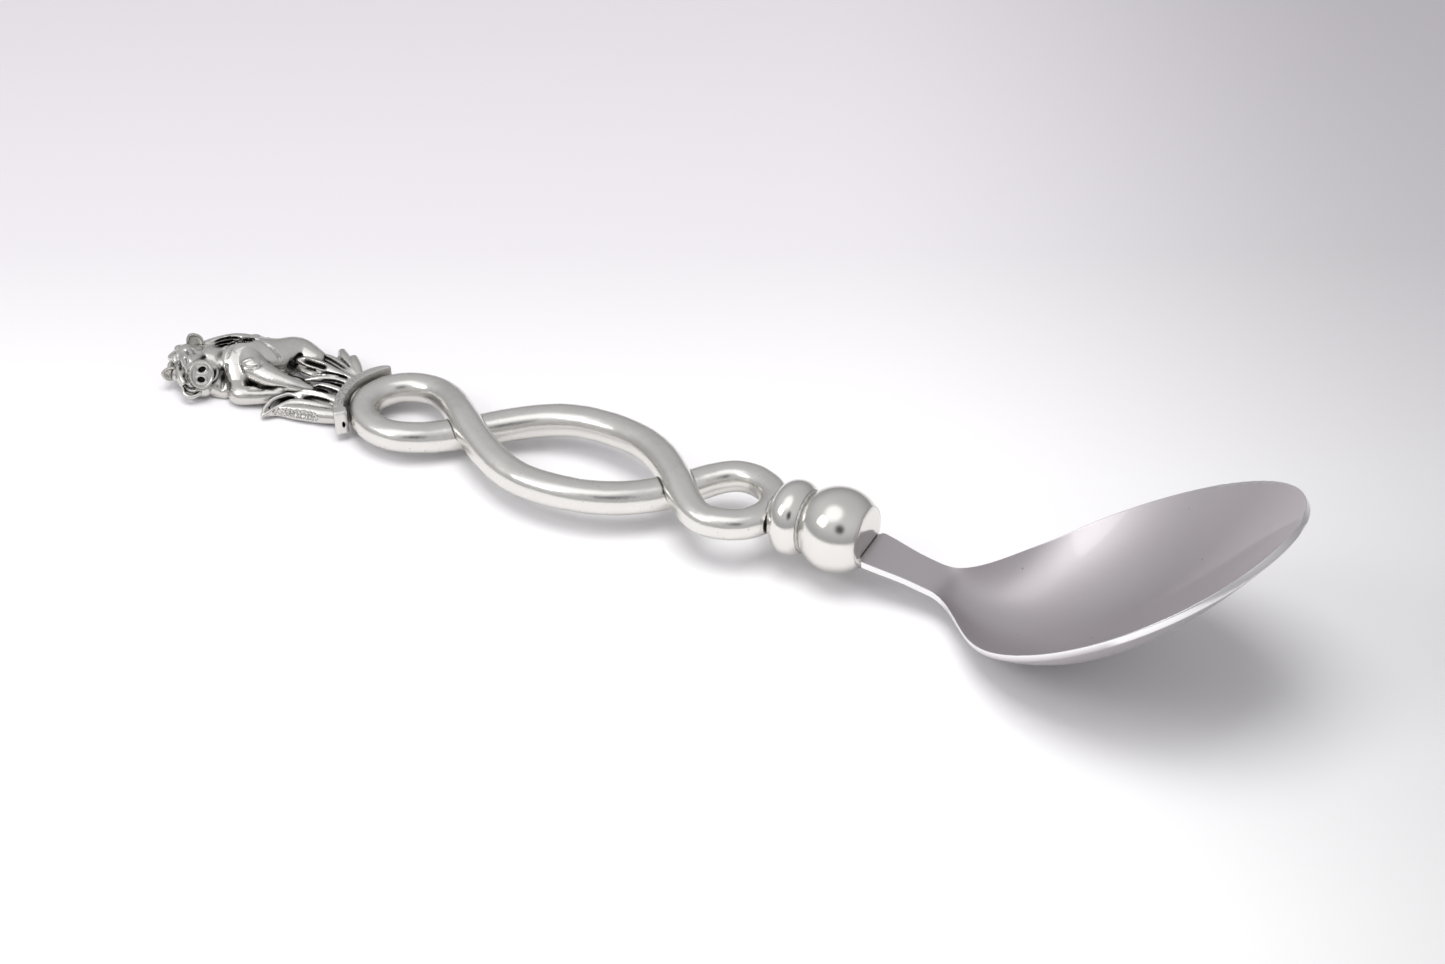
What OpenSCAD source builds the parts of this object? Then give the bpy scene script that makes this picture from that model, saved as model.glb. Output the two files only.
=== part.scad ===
// Souvenir spoon: a stamped steel bowl held in a cast pewter handle of two twisted
// rods, with a seated warthog on a spray of leaves as its finial.
// X runs along the spoon towards the tip of the bowl, Z is up, and the spoon lies
// on Z = 0 on the flat back of the finial and on the belly of the bowl.

/* [Bowl] */
// Length of the bowl outline, measured along its rim
bowl_len = 70.8; // [58:0.2:90]
// Width of the bowl across the rim
bowl_w = 46.8; // [38:0.2:58]
// Depth of the bowl below its rim at the deepest place
bowl_depth = 10.4; // [7:0.1:15]
// Slope of the rim where the bowl leaves the heel, in degrees
bowl_angle = 29.5; // [15:0.5:35]
// How much steeper the rim is at the tip than at the heel, in degrees
rim_curl = 5; // [0.5:0.5:12]
// Exponent of the cross-section: higher is fuller towards the rim
bowl_fullness = 2.3; // [1.8:0.1:3.5]
// Thickness of the stamped sheet
blade_t = 1.4; // [0.8:0.1:2.2]

/* [Neck] */
// Length from the slot in the ball to the heel end of the bowl outline
shank_len = 18.6; // [14:0.2:30]
// Straight stretch of the neck before the heel curve begins
neck_len = 11.5; // [8:0.5:14]
// Radius of the heel curve in side view
heel_r = 28; // [20:1:40]
// Width where the neck leaves the ball
neck_root_w = 9.3; // [7.5:0.1:11]
// Width at the narrowest place
neck_w = 7.6; // [5:0.1:9]
// Slope of the neck down from the handle line, in degrees
neck_drop = 13.5; // [5:0.5:20]
// Height of the neck's top face below the middle of the ball
neck_below = 2.05; // [0:0.05:2.5]
// Length of the tang inside the handle
tang_len = 16; // [8:0.5:17]
// Width of the tang
tang_w = 6.4; // [4:0.1:7]
// Glue gap on every side of the tang
bond_gap = 0.35; // [0.15:0.05:0.5]
// Gap between the shoulder of the neck and the ball
shoulder_gap = 0.3; // [0.1:0.1:0.6]

/* [Ball and bead] */
// Diameter of the ball
ball_d = 16; // [14.5:0.1:20]
// How deep the slotted front face is cut below the ball's surface
front_flat = 2; // [1.5:0.1:4]
// How deep the back face, on the solder seam, is cut below the ball's surface
back_flat = 2.15; // [2:0.05:3]
// Diameter of the bead
bead_d = 14.2; // [13:0.1:18]
// Thickness of the bead if it were whole
bead_t = 7.5; // [6:0.1:9]
// How far the bead is sunk behind the ball
bead_sink = 0.85; // [0.5:0.05:1.2]
// Thickness of the solder seam between ball and bead
seam_t = 0.3; // [0.2:0.05:0.5]
// Diameter of the solder seam
seam_d = 11; // [10:0.1:11.4]

/* [Twisted rods] */
// Diameter of the rods in the eye
rod_d = 6.2; // [5:0.1:7]
// Diameter of the rods in the two end loops
loop_rod_d = 5.7; // [4.8:0.1:6.6]
// Front loop, from its soldered end to the front crossing, on the rod's middle line
front_loop_len = 19.5; // [17:0.5:26]
// Width of the front loop, on the rod's middle line
front_loop_w = 15.2; // [14:0.2:20]
// Eye between the two crossings
eye_len = 45.2; // [36:0.2:58]
// Width of the eye, on the rod's middle line
eye_w = 21.1; // [18:0.1:26]
// Back loop, from the back crossing to its far end, on the rod's middle line
back_loop_len = 21.7; // [18:0.1:28]
// Width of the back loop, on the rod's middle line
back_loop_w = 15.6; // [14:0.2:20]
// How far a rod rises or sinks where it crosses the other
weave = 1.2; // [0.6:0.1:1.8]
// Clearance in the saddle where one rod is let into the other
saddle_gap = 0.05; // [0.02:0.01:0.2]
// How far the rods' soldered end is flattened against the bead
end_flat = 1.7; // [0.8:0.1:2.2]
// Diameter of the solder collar round that end
collar_d = 9.2; // [7.5:0.1:10]
// Thickness of that solder collar
collar_t = 1.1; // [0.6:0.1:1.6]

/* [Crescent] */
// Thickness of the crescent at its middle
crescent_t = 1.9; // [1.2:0.1:3]
// Height of the crescent
crescent_h = 5.2; // [4:0.1:7]
// Distance between the two tips of the crescent
crescent_span = 17; // [15:0.2:22]
// Radius of the crescent's inner face
crescent_r = 11.5; // [10.8:0.1:13]
// Gap between the crescent and the rods
crescent_gap = 0.6; // [0.3:0.1:1]
// Width of the solder pad that bridges that gap
pad_w = 5; // [3:0.5:7]
// Height of that solder pad
pad_h = 3; // [2:0.5:4]

/* [Finial] */
// Length of the warthog from its feet at the crescent to its ear
warthog_len = 36; // [30:0.5:42]
// Size of the snout disc
snout_d = 5.4; // [4.4:0.1:6]
// Length of the longest leaf
leaf_len = 13.5; // [12:0.5:18]
// Width of the leaves
leaf_w = 4.2; // [3:0.1:5]

/* [Hidden] */
$fn = 64;

pewter = "#c9c6be";
steel = "#a9a5a8";
solder = "#b3b0aa";
epoxy = "#8d8878";

lay_angle = 3.5;          // the handle line climbs towards the bowl by this much
rod_sides = 16;
rings_per_arc = 11;
blade_columns = 20;
shank_rows = 14;
bowl_rows = 32;
tip_phase = 178.2;        // stops just short of the pole of the bowl's ellipse
thin = 0.01;

// ---- side line of the blade, in the handle frame: [x, z, slope] at a distance s ----
heel_sweep = neck_drop + bowl_angle;
heel_len = heel_r * heel_sweep * PI / 180;
blade_len = shank_len + bowl_len;
rim_len = blade_len - neck_len - heel_len;
rim_r = rim_len * 180 / PI / rim_curl;
ball_front = ball_d / 2 - front_flat;
ball_back = ball_d / 2 - back_flat;
blade_x = ball_front + shoulder_gap;

function arc_from(start, r, sweep) = [
    start[0] + r * (sin(start[2] + sweep) - sin(start[2])),
    start[1] + r * (cos(start[2]) - cos(start[2] + sweep)),
    start[2] + sweep,
];
function ahead(start, s) = [
    start[0] + s * cos(start[2]), start[1] + s * sin(start[2]), start[2],
];
bend_at = 0.8;            // the neck leaves the slot straight and bends down here
neck_start = [blade_x + bend_at, -neck_below, -neck_drop];
heel_start = ahead(neck_start, neck_len - bend_at);
rim_start = arc_from(heel_start, heel_r, heel_sweep);
function side_line(s) =
    s < bend_at ? [blade_x + s, -neck_below, 0]
    : s < neck_len ? ahead(neck_start, s - bend_at)
    : s < neck_len + heel_len ? arc_from(heel_start, heel_r, (s - neck_len) / heel_r * 180 / PI)
    : arc_from(rim_start, rim_r, (s - neck_len - heel_len) / rim_r * 180 / PI);

// ---- half-width of the blade at s: tang, neck, flare, then the bowl's ellipse ----
flare_before = 5.2;
flare_after = 7.8;
waist_at = 10;
bowl_middle = shank_len + bowl_len / 2;
function ease(t) = (1 - cos(180 * min(max(t, 0), 1))) / 2;
function ellipse_half(s) =
    bowl_w / 2 * sqrt(max(0, 1 - pow((s - bowl_middle) / (bowl_len / 2), 2)));
function ellipse_slope(s) =
    -bowl_w / 2 * (s - bowl_middle) / pow(bowl_len / 2, 2) / (ellipse_half(s) / (bowl_w / 2));
function flare_half(t) =
    let (reach = flare_before + flare_after, after = shank_len + flare_after)
    neck_w / 2 * (1 - 3 * t * t + 2 * t * t * t)
    + ellipse_half(after) * (3 * t * t - 2 * t * t * t)
    + ellipse_slope(after) * reach * (t * t * t - t * t);
function half_width(s) =
    s < -thin ? tang_w / 2
    : s < shank_len - flare_before
        ? neck_root_w / 2 + (neck_w - neck_root_w) / 2 * ease(s / waist_at)
    : s < shank_len + flare_after
        ? flare_half((s - shank_len + flare_before) / (flare_before + flare_after))
    : ellipse_half(s);

// ---- depth of the hollow below the rim at s ----
hollow_lead = 4;          // the hollow starts this far up the neck
hollow_skew = 0.75;       // under 1 moves the deepest place towards the heel
hollow_round = 1;
function hollow(s) =
    let (t = min(max((s - shank_len + hollow_lead) / (bowl_len + hollow_lead), 0), 1))
    bowl_depth * pow(max(0, sin(180 * pow(t, hollow_skew))), hollow_round);

function blade_point(s, across, down) =
    let (line = side_line(s), drop = hollow(s) * (1 - pow(abs(across), bowl_fullness)) + down)
    [
        line[0] + drop * sin(line[2]),
        across * half_width(s),
        line[1] - drop * cos(line[2]),
    ];

shank_reach = 4;
first_phase = acos(1 - shank_reach / (bowl_len / 2));
blade_stations = [
    -tang_len - shoulder_gap, -2 * thin, 0, bend_at,
    for (i = [1:shank_rows]) bend_at + (shank_len + shank_reach - bend_at) * i / shank_rows,
    for (i = [1:bowl_rows])
        bowl_middle - bowl_len / 2 * cos(first_phase + (tip_phase - first_phase) * i / bowl_rows),
];

// ---- how the handle frame lies over the table ----
belly = [for (s = blade_stations) blade_point(s, 0, blade_t)];
ball_height = -min([for (p = belly) p[0] * sin(lay_angle) + p[2] * cos(lay_angle)]);

bead_x = -ball_d / 2 - bead_sink;
bead_front_x = -ball_back - seam_t;
bead_back_x = bead_x - bead_t / 2;
front_end_x = bead_back_x - (loop_rod_d / 2 - end_flat);
front_cross_x = front_end_x - front_loop_len;
back_cross_x = front_cross_x - eye_len;
back_end_x = back_cross_x - back_loop_len;
back_edge_x = back_end_x - loop_rod_d / 2;

finial_x = back_edge_x - crescent_gap - crescent_t;
ear_overhang = 0.8;
tip = side_line(blade_len);
handle_end = (finial_x - warthog_len - ear_overhang) * cos(lay_angle);
bowl_end = tip[0] * cos(lay_angle) - tip[1] * sin(lay_angle);
middle_x = -(handle_end + bowl_end) / 2;

module on_handle() {
    translate([middle_x, 0, ball_height]) rotate([0, -lay_angle, 0]) children();
}

// ---- middle line of the twisted rods: cubic curves between knots ----
front_cross_angle = 45;
back_cross_angle = 40;
round_pull = 0.55;        // handle length of a cubic that draws a quarter circle
// each knot: [x, y, heading, reach before it, reach after it, height]
rod_knots = [
    [back_end_x, 0, 90, 0, back_loop_w / 2 * round_pull, 0],
    [back_end_x + back_loop_len * 0.43, back_loop_w / 2, 0,
        back_loop_len * 0.25, back_loop_len * 0.21, 0],
    [back_cross_x, 0, -back_cross_angle, back_loop_len * 0.23, eye_len * 0.21, weave],
    [(back_cross_x + front_cross_x) / 2, -eye_w / 2, 0, eye_len * 0.2, eye_len * 0.22, 0],
    [front_cross_x, 0, front_cross_angle, eye_len * 0.21, front_loop_len * 0.23, -weave],
    [front_end_x - front_loop_len * 0.45, front_loop_w / 2, 0,
        front_loop_len * 0.23, front_loop_len * 0.25, -weave / 4],
    [front_end_x, 0, -90, front_loop_w / 2 * round_pull, 0, 0],
];
function heading(a) = [cos(a), sin(a), 0];
function arc_points(i) =
    let (a = rod_knots[i], b = rod_knots[i + 1])
    [
        [a[0], a[1], 0], [a[0], a[1], 0] + a[4] * heading(a[2]),
        [b[0], b[1], 0] - b[3] * heading(b[2]), [b[0], b[1], 0],
    ];
function cubic(p, t) =
    pow(1 - t, 3) * p[0] + 3 * pow(1 - t, 2) * t * p[1] + 3 * (1 - t) * t * t * p[2]
    + t * t * t * p[3];
function cubic_way(p, t) =
    pow(1 - t, 2) * (p[1] - p[0]) + 2 * (1 - t) * t * (p[2] - p[1]) + t * t * (p[3] - p[2]);
function rod_point(i, t, side) =
    let (p = cubic(arc_points(i), t))
    [p[0], side * p[1], side * (rod_knots[i][5]
        + (rod_knots[i + 1][5] - rod_knots[i][5]) * ease(t))];
function rod_way(i, t, side) =
    let (w = cubic_way(arc_points(i), t)) [w[0], side * w[1], 0] / norm(w);
// the rods swell from the loops to the eye between the knots before and after it
function swell(i, t) = i < 2 ? ease(i + t - 1) : i > 3 ? ease(5 - i - t) : 1;
function rod_ring(i, t, side, gap) =
    let (
        c = rod_point(i, t, side),
        w = rod_way(i, t, side),
        across = [-w[1], w[0], 0],
        r = (loop_rod_d + (rod_d - loop_rod_d) * swell(i, t)) / 2 + gap
    )
    [for (k = [0:rod_sides - 1])
        let (a = 360 * (k + 0.5) / rod_sides)
        c + r * cos(a) * across + r * sin(a) * [0, 0, 1]];

// A closed tube through rings of points, each with an even number of points listed the
// same way round. Its two ends are strips of triangles, from one half of the ring to the other.
module skin(rings) {
    n = len(rings[0]);
    last = len(rings) - 1;
    polyhedron(
        points = [for (ring = rings) each ring],
        faces = [
            for (k = [0:n / 2 - 2])
                each [[k, k + 1, n - 2 - k], [k, n - 2 - k, n - 1 - k]],
            for (k = [0:n / 2 - 2])
                each [
                    [last * n + k, last * n + n - 2 - k, last * n + k + 1],
                    [last * n + k, last * n + n - 1 - k, last * n + n - 2 - k],
                ],
            for (j = [0:last - 1], k = [0:n - 1])
                let (a = j * n + k, b = j * n + (k + 1) % n)
                each [[a, a + n, b + n], [a, b + n, b]],
        ],
        convexity = 10
    );
}

// side is 1 for the rod that lies on the near side of the eye, -1 for the other
module rod_arcs(first, last, side) {
    steps = [for (i = [first:last], j = [0:rings_per_arc - 1]) [i, j / rings_per_arc], [last, 1]];
    skin([for (s = steps) rod_ring(s[0], s[1], side, 0)]);
}

// The saddle cutter follows the crossing rod a little past its partner
module crossing(side) {
    first = side > 0 ? 3 : 1;
    cut_steps = [
        for (j = [7:rings_per_arc]) [first, j / rings_per_arc],
        for (j = [1:5]) [first + 1, j / rings_per_arc],
    ];
    skin([for (s = cut_steps) rod_ring(s[0], s[1], -side, saddle_gap)]);
}

module rod(side) {
    on_handle() difference() {
        rod_arcs(0, 5, side);
        crossing(side);
        // flat that meets the bead
        translate([bead_back_x, -bead_d / 2, -bead_d / 2]) cube([bead_d, bead_d, bead_d]);
    }
}

module near_rod() {
    color(pewter) rod(1);
}

module far_rod() {
    color(pewter) rod(-1);
}

module spoon_blade() {
    columns = [for (k = [0:blade_columns]) sin(-90 + 180 * k / blade_columns)];
    rings = [for (s = blade_stations) [
        for (across = columns) blade_point(s, across, 0),
        for (k = [blade_columns:-1:0]) blade_point(s, columns[k], blade_t),
    ]];
    color(steel) on_handle() skin(rings);
}

module tang_block(grow) {
    long = tang_len + grow;
    translate([blade_x - shoulder_gap - long, -tang_w / 2 - grow, -neck_below - blade_t - grow])
        cube([long + thin, tang_w + 2 * grow, blade_t + 2 * grow]);
}

module tang_bond() {
    mouth = 0.4;
    color(epoxy) on_handle() difference() {
        tang_block(bond_gap);
        tang_block(thin);
        translate([ball_front - mouth, -ball_d, -ball_d]) cube([ball_d, 2 * ball_d, 2 * ball_d]);
    }
}

module along_x(x) {
    translate([x, 0, 0]) rotate([0, 90, 0]) children();
}

module ball_ferrule() {
    color(pewter) on_handle() difference() {
        intersection() {
            sphere(d = ball_d);
            along_x(-ball_back) cylinder(d = ball_d + 1, h = ball_back + ball_front);
        }
        tang_block(bond_gap);
    }
}

module seam_solder() {
    color(solder) on_handle() difference() {
        along_x(bead_front_x) cylinder(d = seam_d, h = seam_t);
        tang_block(bond_gap);
    }
}

module bead_ferrule() {
    rim_r = bead_t / 2;
    color(pewter) on_handle() difference() {
        along_x(bead_x) rotate_extrude() intersection() {
            union() {
                translate([bead_d / 2 - rim_r, 0]) circle(rim_r);
                translate([0, -rim_r]) square([bead_d / 2 - rim_r, bead_t]);
            }
            translate([0, -rim_r]) square([bead_d, bead_front_x - bead_x + rim_r]);
        }
        tang_block(bond_gap);
    }
}

module collar_solder() {
    color(solder) on_handle() difference() {
        along_x(bead_back_x - collar_t)
            cylinder(d1 = collar_d - 1.6, d2 = collar_d, h = collar_t);
        rod_end_cut(1);
        rod_end_cut(-1);
    }
}

module rod_end_cut(side) {
    steps = [[5, 0.5], [5, 0.6], [5, 0.7], [5, 0.8], [5, 0.9], [5, 1]];
    skin([for (s = steps) rod_ring(s[0], s[1], side, saddle_gap)]);
}

// ---- crescent: one circle less another, with its tips where they cross ----
crescent_in_x = back_edge_x - crescent_gap + crescent_r;
tip_x = crescent_in_x - sqrt(pow(crescent_r, 2) - pow(crescent_span / 2, 2));
crescent_run = tip_x - finial_x;
crescent_out_r = (pow(crescent_run, 2) + pow(crescent_span / 2, 2)) / (2 * crescent_run);

module crescent_band() {
    color(pewter) on_handle() crescent_shape(0);
}

module crescent_shape(grow) {
    translate([0, 0, -crescent_h / 2 - grow]) linear_extrude(crescent_h + 2 * grow) difference() {
        translate([finial_x + crescent_out_r, 0]) circle(crescent_out_r + grow);
        translate([crescent_in_x, 0]) circle(crescent_r - grow);
    }
}

module crescent_solder() {
    color(solder) on_handle() difference() {
        translate([back_edge_x - crescent_gap - 1, -pad_w / 2, -pad_h / 2])
            cube([loop_rod_d / 2 + crescent_gap, pad_w, pad_h]);
        translate([0, 0, -crescent_h]) linear_extrude(2 * crescent_h) difference() {
            translate([finial_x + crescent_out_r, 0]) circle(crescent_out_r);
            translate([crescent_in_x, 0]) circle(crescent_r);
        }
        pad_seat(1);
        pad_seat(-1);
    }
}

module pad_seat(side) {
    steps = [[0, 0], [0, 0.1], [0, 0.2], [0, 0.3], [0, 0.4], [0, 0.5]];
    skin([for (s = steps) rod_ring(s[0], s[1], side, 0)]);
}

// ---- finial: drawn over the table, u outwards from the crescent, v across, h up ----
finial_table_x = middle_x + finial_x * cos(lay_angle);
figure_k = warthog_len / 36;
function fin(u, v, h) = [finial_table_x - u, v, h];
function fig(u, v, h) = [finial_table_x - u * figure_k, v, h];

// a chain of balls, each [point, radius], with a skin drawn over every pair
module limb(balls) {
    for (i = [0:len(balls) - 2]) hull() {
        translate(balls[i][0]) sphere(balls[i][1], $fn = 14);
        translate(balls[i + 1][0]) sphere(balls[i + 1][1], $fn = 14);
    }
}

module above_table() {
    intersection() {
        children();
        translate([-200, -50, 0]) cube([400, 100, 50]);
    }
}

// A leaf from root to tip: one skin over lens sections that swell and then narrow
module leaf(root, tip, w, t, rise) {
    steps = 5;
    way = tip - root;
    turn = atan2(way[1], way[0]);
    hull() for (j = [0:steps]) {
        f = j / steps;
        size = max(0.15, sin(180 * pow(f * 0.93 + 0.05, 0.8)));
        translate(root + way * f + [0, 0, rise * sin(180 * f)])
            rotate([0, 0, turn]) scale([0.3, 1, t / w]) sphere(d = w * size, $fn = 16);
    }
}

module leaves() {
    leaf(fin(-0.6, -6.2, 2.2), fin(leaf_len, -10.4, 1.9), leaf_w, 3, 0.9);
    leaf(fin(-0.4, -3.4, 2.8), fin(leaf_len * 0.8, -7.2, 3.4), leaf_w * 0.8, 2.6, 1.2);
    leaf(fin(-0.4, 2.6, 2.6), fin(leaf_len * 0.75, 1.4, 3.6), leaf_w, 3, 1);
    leaf(fin(-0.4, 4.8, 2.6), fin(leaf_len * 0.62, 7.6, 4), leaf_w * 0.8, 2.6, 1);
    leaf(fin(-0.6, 6.6, 2.4), fin(leaf_len * 0.55, 10.2, 4.6), leaf_w * 0.7, 2.4, 0.8);
    leaf(fin(-0.2, 0, 1.8), fin(leaf_len * 0.9, -1.5, 1.8), leaf_w * 1.3, 3.4, 0.2);
}

module leaf_spray() {
    color(pewter) above_table() difference() {
        leaves();
        warthog();
        on_handle() crescent_shape(0);
    }
}

module warthog() {
    // back and rump
    limb([[fig(13.5, 3.4, 2.6), 4.4], [fig(18.5, 2.6, 2.4), 5.3], [fig(25.5, 0.6, 2.6), 4.9]]);
    // neck and head
    limb([[fig(25.5, 0.6, 3.2), 4.6], [fig(30.4, -3.6, 3.6), 4.2], [fig(29.4, -7, 4.8), 3]]);
    // folded hind thigh
    limb([[fig(15.5, 1.6, 4), 3.6], [fig(9.5, 1.2, 3.4), 2.4], [fig(13, -2.4, 2.6), 2]]);
    // forelegs reaching towards the crescent
    limb([[fig(25, -2.4, 3), 3.4], [fig(15, -3.8, 4), 2.2], [fig(3.4, -2.4, 4.2), 1.4]]);
    limb([[fig(25, -4.6, 2), 3], [fig(20.6, -7.6, 1.8), 2.3], [fig(9.6, -6.4, 1.6), 1.5]]);
    // ears
    limb([[fig(32, -2.4, 5.4), 1.8], [fig(34.6, -1.9, 6.6), 1.2]]);
    limb([[fig(33.4, -6.6, 3.6), 1.8], [fig(35.6, -9.8, 3.2), 1.2]]);
    // mane along the back of the neck
    limb([[fig(32, -0.4, 3.4), 2], [fig(27.5, 3.6, 4), 1.7], [fig(20, 6.2, 4.2), 1.4]]);
    // tusks
    limb([[fig(29.8, -8.4, 3.2), 1.2], [fig(31.6, -10.4, 1.6), 0.9]]);
    limb([[fig(27, -7.6, 6), 1.2], [fig(25, -8.6, 6.6), 0.8]]);
    // snout
    translate(fig(28.6, -7.6, 5)) rotate([72, 0, -12]) cylinder(d = snout_d, h = 3, $fn = 24);
}

module warthog_figure() {
    color(pewter) above_table() difference() {
        warthog();
        on_handle() crescent_shape(0.1);
    }
}

spoon_blade();
tang_bond();
ball_ferrule();
seam_solder();
bead_ferrule();
collar_solder();
near_rod();
far_rod();
crescent_band();
crescent_solder();
leaf_spray();
warthog_figure();
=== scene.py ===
# %% [markdown]
# # Souvenir spoon
# A stamped steel bowl in a cast pewter handle: two twisted rods with open loops, a ball and a
# bead as the ferrule, a crescent, a spray of leaves and a seated warthog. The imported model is
# the fixed frame: every piece below is made round it, in metres, at the place that its own
# node has there. Loading it first means that no size has to be typed twice.

import math

import bmesh
import bpy
import numpy as np
from mathutils import Matrix, Quaternion, Vector
from mathutils.bvhtree import BVHTree


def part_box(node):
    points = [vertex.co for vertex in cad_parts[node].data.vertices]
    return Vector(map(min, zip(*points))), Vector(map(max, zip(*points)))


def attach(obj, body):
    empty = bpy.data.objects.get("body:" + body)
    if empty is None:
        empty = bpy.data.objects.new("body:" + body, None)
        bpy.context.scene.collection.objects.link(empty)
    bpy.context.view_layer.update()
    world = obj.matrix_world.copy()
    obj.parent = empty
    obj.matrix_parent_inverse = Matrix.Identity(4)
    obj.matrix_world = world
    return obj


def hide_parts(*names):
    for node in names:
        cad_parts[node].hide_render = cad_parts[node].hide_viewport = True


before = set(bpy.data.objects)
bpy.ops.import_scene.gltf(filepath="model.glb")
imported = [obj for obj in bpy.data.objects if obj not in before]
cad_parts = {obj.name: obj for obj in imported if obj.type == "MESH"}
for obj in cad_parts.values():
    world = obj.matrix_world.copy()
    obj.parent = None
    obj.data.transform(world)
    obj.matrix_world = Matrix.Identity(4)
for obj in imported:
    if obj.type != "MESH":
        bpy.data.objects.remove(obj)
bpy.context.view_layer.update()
MM = 0.001

# %% [markdown]
# The handle lies over the table at a small angle, because the ball under it is thicker than
# the finial. A spoon maker would draw it level and then lay it down, so its pieces are made
# in a level handle frame with its origin at the middle of the ball. This matrix lays them
# down. The ball's own box gives its middle.

# %% The handle frame
LAY_ANGLE = math.radians(3.5)
BALL_FRONT = 6 * MM
ball_low, ball_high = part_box("ball_ferrule")
ball_r = (ball_high.y - ball_low.y) / 2
flat_r = math.sqrt(ball_r**2 - BALL_FRONT**2)
ball_middle = Vector((
    ball_high.x - BALL_FRONT * math.cos(LAY_ANGLE) - flat_r * math.sin(LAY_ANGLE),
    0,
    (ball_low.z + ball_high.z) / 2,
))
on_handle = Matrix.Translation(ball_middle) @ Matrix.Rotation(-LAY_ANGLE, 4, "Y")
print("middle of the ball, mm:", [round(c / MM, 2) for c in ball_middle])

# %% [markdown]
# The spoon is seen from above one side, with the bowl to the right. The camera has a long
# lens, as for a product picture, so that the bowl and the finial keep their proportions.
# It is aimed by a heading and an elevation, and looks at a point near the eye of the handle.

# %% Camera
CAMERA_HEADING = math.radians(27.41)
CAMERA_RISE = math.radians(38.85)
CAMERA_DISTANCE = 0.6458
AIM = Vector((2.66, 5.05, 8.0)) * MM
back = Vector((
    math.sin(CAMERA_HEADING) * math.cos(CAMERA_RISE),
    -math.cos(CAMERA_HEADING) * math.cos(CAMERA_RISE),
    math.sin(CAMERA_RISE),
))
right = Vector((math.cos(CAMERA_HEADING), math.sin(CAMERA_HEADING), 0))
up = back.cross(right)
bpy.ops.object.camera_add(location=AIM + back * CAMERA_DISTANCE)
camera = bpy.context.object
camera.name = "camera"
camera.rotation_mode = "QUATERNION"
camera.rotation_quaternion = (-back).to_track_quat("-Z", "Y")
camera.data.lens = 87.2
camera.data.sensor_width = 36
camera.data.clip_start = 0.01
camera.data.clip_end = 20
bpy.context.scene.camera = camera
print("camera at, mm:", [round(c / MM, 1) for c in camera.location])

# %% [markdown]
# ## Helpers for modelling
# Operators act on whatever is selected, and loading the frame leaves its nodes selected. So
# each step starts from `take`, which leaves one object selected and active. `pick_all` goes
# into edit mode with the whole mesh selected, and `plane_off` saws a piece off at a plane.


# %% Selecting and applying
def deselect_all():
    if bpy.context.mode != "OBJECT":
        bpy.ops.object.mode_set(mode="OBJECT")
    bpy.ops.object.select_all(action="DESELECT")


def take(piece):
    deselect_all()
    piece.select_set(True)
    bpy.context.view_layer.objects.active = piece
    return piece


def pick_all(piece):
    take(piece)
    bpy.ops.object.mode_set(mode="EDIT")
    bpy.ops.mesh.select_mode(type="VERT")
    bpy.ops.mesh.select_all(action="SELECT")


def plane_off(piece, point, facing, **settings):
    """Cuts the mesh at a plane and takes away what lies on the side that it faces."""
    pick_all(piece)
    bpy.ops.mesh.bisect(plane_co=point, plane_no=facing, clear_outer=True, **settings)
    bpy.ops.object.mode_set(mode="OBJECT")


def apply_place(piece):
    take(piece)
    bpy.ops.object.transform_apply(location=True, rotation=True, scale=True)
    return piece


def modify(piece, kind, **settings):
    """Adds a modifier, sets it and applies it."""
    take(piece)
    modifier = piece.modifiers.new(kind.lower(), kind)
    for name, value in settings.items():
        setattr(modifier, name, value)
    bpy.ops.object.modifier_apply(modifier=modifier.name)


def remove(*pieces):
    for piece in pieces:
        bpy.data.objects.remove(piece)


def bevel(piece, width, segments, angle, clamp=True):
    """Rounds the edges that are sharper than angle, in degrees."""
    modify(piece, "BEVEL", width=width, segments=segments, limit_method="ANGLE",
           angle_limit=math.radians(angle), use_clamp_overlap=clamp)


def cut_away(piece, cutter):
    """Cuts the cutter's shape out of the piece, and takes the cutter away."""
    modify(piece, "BOOLEAN", operation="DIFFERENCE", solver="EXACT", object=cutter)
    remove(cutter)


def turn_faces_out(piece, merge_under=None):
    """Makes every face look outwards, after merging points that are closer than merge_under."""
    pick_all(piece)
    if merge_under:
        bpy.ops.mesh.remove_doubles(threshold=merge_under)
    bpy.ops.mesh.normals_make_consistent(inside=False)
    bpy.ops.object.mode_set(mode="OBJECT")


def mark(piece, name, values):
    """Writes a value from 0 to 1 on each corner, for a finish to read."""
    attribute = piece.data.attributes.new(name, "FLOAT", "POINT")
    attribute.data.foreach_set("value", np.asarray(values, np.float32))


def join(pieces):
    deselect_all()
    for piece in pieces:
        piece.select_set(True)
    bpy.context.view_layer.objects.active = pieces[0]
    bpy.ops.object.join()
    return pieces[0]


def lay_down(piece):
    """Takes a piece from the level handle frame to its place over the table."""
    piece.data.transform(on_handle)
    piece.data.update()
    return piece


def corners_of(piece):
    spots = np.empty(len(piece.data.vertices) * 3)
    piece.data.vertices.foreach_get("co", spots)
    return spots.reshape(-1, 3)


def move_corners(piece, spots):
    piece.data.vertices.foreach_set("co", np.asarray(spots, float).ravel())
    piece.data.update()


def smooth(piece, angle=40):
    take(piece)
    bpy.ops.object.shade_smooth_by_angle(angle=math.radians(angle))


pieces = []


def place(piece, name, nodes, material):
    """Names a finished piece, lets it ride, hides the frame's nodes that it stands for and paints
    it.
    """
    piece.name = name
    piece.data.name = name
    piece.data.materials.clear()
    piece.data.materials.append(material)
    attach(piece, "root")
    if nodes:
        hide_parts(*nodes)
    pieces.append(piece)
    piece.data.calc_loop_triangles()
    print(f"{name}: {len(piece.data.loop_triangles)} triangles")


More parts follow.
